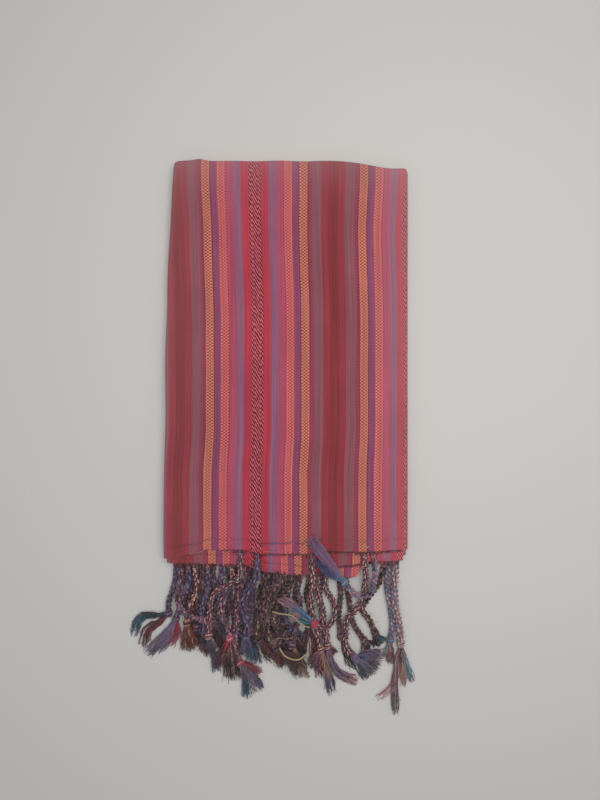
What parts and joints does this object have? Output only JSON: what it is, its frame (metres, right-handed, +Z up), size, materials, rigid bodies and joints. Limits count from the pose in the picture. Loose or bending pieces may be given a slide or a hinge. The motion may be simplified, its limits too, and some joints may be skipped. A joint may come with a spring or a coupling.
{
  "type": "folded scarf",
  "caption": "Striped woven scarf, folded flat to a long rectangle, with twisted and knotted tassels along its near edge.",
  "frame": {"origin": "middle of the folded cloth's flat underside, on the surface it rests on", "axes": "+X to the right of the folded cloth, +Y away from the fringe, +Z up"},
  "size_m": [0.2751, 0.541, 0.0167],
  "materials": {
    "striped_cloth": "soft twill weave, striped maroon, wine, mauve, gold, purple, coral, rose and scarlet",
    "fringe_yarn": "twisted yarns of mixed colours, frayed below the knots"
  },
  "bodies": {
    "root": {"top_panel": "striped_cloth", "hidden_folds": "striped_cloth", "second_ply_end": "striped_cloth", "third_fold_end": "striped_cloth", "fringe_top": "fringe_yarn", "fringe_second": "fringe_yarn", "fringe_middle": "fringe_yarn", "fringe_bottom": "fringe_yarn"}
  },
  "joints": []
}
